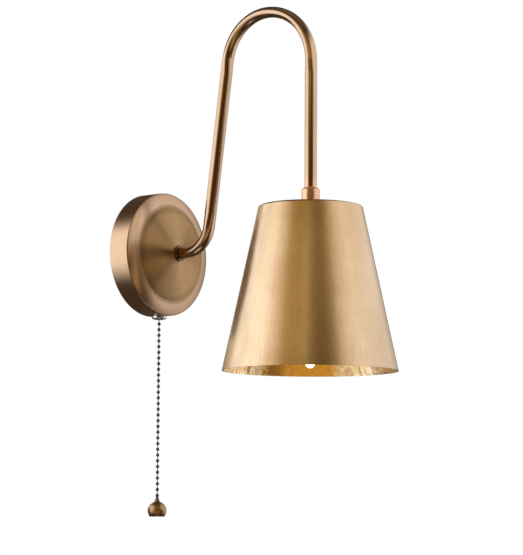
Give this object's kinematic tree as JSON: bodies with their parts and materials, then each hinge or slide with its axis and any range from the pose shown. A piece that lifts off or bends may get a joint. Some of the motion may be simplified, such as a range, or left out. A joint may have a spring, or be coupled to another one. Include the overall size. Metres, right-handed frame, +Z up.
{
  "type": "pull-chain wall sconce",
  "caption": "Wall light with a round domed canopy, a bent tube arm over a crook, a conical metal shade hung mouth down, and a ball chain that works a pull switch.",
  "frame": {"origin": "centre of the round canopy, on the wall plane", "axes": "+Z up, +Y into the wall, +X to the right as seen by someone facing the wall; the arm reaches out along -Y in the plane X = 0"},
  "size_m": [0.17, 0.289, 0.5042],
  "materials": {
    "antique_brass": "antique brass, brushed and lacquered",
    "copper_brass": "warm copper-toned brass, polished and lacquered",
    "gold_leaf": "gold leaf, laid by hand in overlapping flakes",
    "zinc_steel": "zinc-plated pressed steel",
    "bright_nickel": "bright nickel plate",
    "dark_bronze": "dark bronze chain, polished high spots",
    "black_plastic": "moulded, fine satin texture",
    "white_plastic": "moulded, satin",
    "contact_brass": "bare stamped brass",
    "spring_steel": "drawn spring wire",
    "lamp_glass": "opal blown glass, lit warm white",
    "lamp_filament": "phosphor-coated light-emitting sticks",
    "brown_pvc": "brown insulated lead",
    "blue_pvc": "blue insulated lead",
    "green_pvc": "green and yellow insulated lead",
    "clear_pvc": "translucent sheathed flex"
  },
  "bodies": {
    "fixture": {"wall_bracket": "zinc_steel", "earth_screw": "contact_brass", "terminal_block": "white_plastic", "terminal_screws": "contact_brass", "terminal_block_screw": "zinc_steel", "canopy": "antique_brass", "canopy_side_screw": "antique_brass", "canopy_locating_pin": "zinc_steel", "arm_base_ring": "antique_brass", "arm_tube": "antique_brass", "arm_root_nipple": "zinc_steel", "arm_lock_washer": "zinc_steel", "arm_nut": "zinc_steel", "arm_flex": "clear_pvc", "live_lead": "brown_pvc", "neutral_lead": "blue_pvc", "switched_lead": "brown_pvc", "earth_lead": "green_pvc", "tube_end_ring": "copper_brass", "shade_collar": "copper_brass", "holder_nipple": "zinc_steel", "shade_nut": "zinc_steel", "shade": "antique_brass", "gold_leaf_lining": "gold_leaf", "lampholder_cap": "black_plastic", "lampholder_body": "black_plastic", "lampholder_screw_shell": "contact_brass", "lampholder_centre_contact": "contact_brass", "lamp_cap": "bright_nickel", "lamp_glass": "lamp_glass", "lamp_stem": "lamp_glass", "lamp_filaments": "lamp_filament", "switch_housing": "black_plastic", "switch_cover": "black_plastic", "switch_contacts": "contact_brass", "switch_nozzle": "bright_nickel", "switch_inner_nut": "zinc_steel", "switch_outer_nut": "bright_nickel", "switch_return_spring": "spring_steel"},
    "pull_plunger": {"switch_plunger": "white_plastic", "nozzle_chain": "dark_bronze", "pivot_bead_upper": "dark_bronze"},
    "switch_rotor": {"switch_rotor": "white_plastic"},
    "swivel": {"swivel_link": "dark_bronze", "pivot_bead_lower": "dark_bronze"},
    "hanging_chain": {"chain_links": "dark_bronze", "chain_beads": "dark_bronze", "ball_connector": "dark_bronze", "pull_ball": "copper_brass"}
  },
  "joints": [
    {"name": "chain_pull", "type": "slide", "parent": "fixture", "child": "pull_plunger", "axis": [0, 0, -1], "range_m": [0, 0.007], "stiffness_N_per_m": 350, "springref_m": -0.003, "deforming": ["switch_return_spring"]},
    {"name": "rotor_turn", "type": "hinge", "parent": "fixture", "child": "switch_rotor", "pos_m": [0, -0.0125, -0.04], "axis": [0, 0, 1], "range_deg": [0, 90]},
    {"name": "chain_side_swing", "type": "hinge", "parent": "pull_plunger", "child": "swivel", "pos_m": [0, -0.0125, -0.07042], "axis": [0, 1, 0], "range_deg": [-45, 45]},
    {"name": "chain_out_swing", "type": "hinge", "parent": "swivel", "child": "hanging_chain", "pos_m": [0, -0.0125, -0.0762], "axis": [1, 0, 0], "range_deg": [-45, 0.8]}
  ],
  "couplings": [
    {"joint": "rotor_turn", "follows": "chain_pull", "rad_per_m": 224.18}
  ]
}
